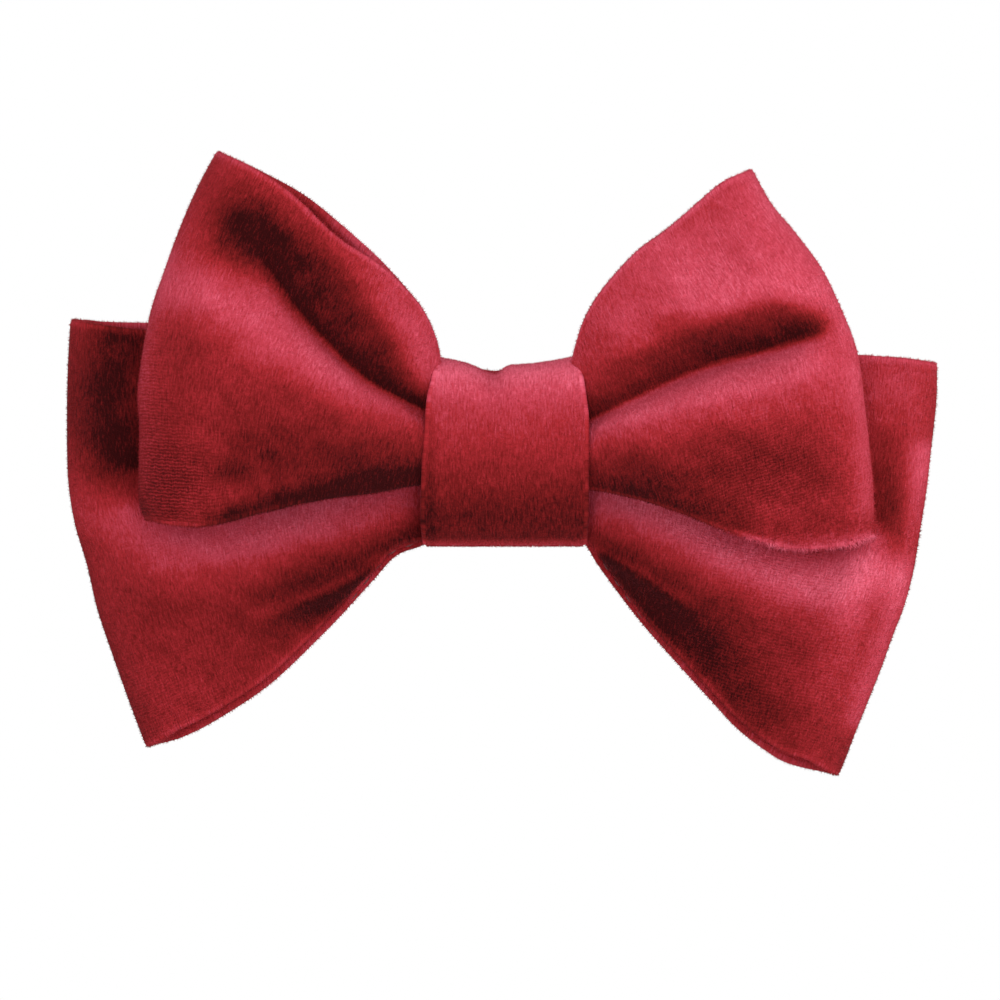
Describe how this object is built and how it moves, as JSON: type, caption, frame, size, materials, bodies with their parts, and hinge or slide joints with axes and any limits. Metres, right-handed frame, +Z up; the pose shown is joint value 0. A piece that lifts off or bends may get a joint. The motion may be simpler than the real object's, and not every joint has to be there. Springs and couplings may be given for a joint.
{
  "type": "bow tie",
  "caption": "Pre-tied double velvet bow tie: two stacked folded loops pinched by a velvet knot band, with a sprung collar clip sewn behind the knot.",
  "frame": {"origin": "on the gripping face of the clip base, behind the centre of the knot", "axes": "+X across the bow to the viewer's right, +Z up as worn, the velvet front faces -Y and the clip is on +Y"},
  "size_m": [0.1313, 0.0376, 0.0932],
  "materials": {
    "velvet": "cotton velvet with a short upright pile",
    "interlining": "woven canvas interlining",
    "thread": "polyester sewing thread",
    "plated_steel": "nickel-plated stamped steel",
    "spring_wire": "drawn spring wire"
  },
  "bodies": {
    "bow_tie": {"front_bow_velvet": "velvet", "front_bow_lining": "velvet", "front_bow_interlining": "interlining", "front_bow_top_seam": "thread", "front_bow_bottom_seam": "thread", "front_bow_join_stitches": "thread", "front_bow_gathering_thread": "thread", "rear_bow_velvet": "velvet", "rear_bow_lining": "velvet", "rear_bow_interlining": "interlining", "rear_bow_top_seam": "thread", "rear_bow_bottom_seam": "thread", "rear_bow_join_stitches": "thread", "rear_bow_gathering_thread": "thread", "waist_tack_stitches": "thread", "knot_velvet": "velvet", "knot_interlining": "interlining", "knot_closing_stitches": "thread", "clip_base": "plated_steel", "clip_stitches": "thread", "clip_hinge_pin": "plated_steel", "clip_spring": "spring_wire"},
    "jaw": {"clip_jaw": "plated_steel"}
  },
  "joints": [
    {"name": "clip_hinge", "type": "hinge", "parent": "bow_tie", "child": "jaw", "pos_m": [0.005, 0.0027, 0], "axis": [0, 0, -1], "range_deg": [0, 28], "stiffness_Nm_per_rad": 0.06, "springref_deg": -57.3, "deforming": ["clip_spring"]}
  ]
}
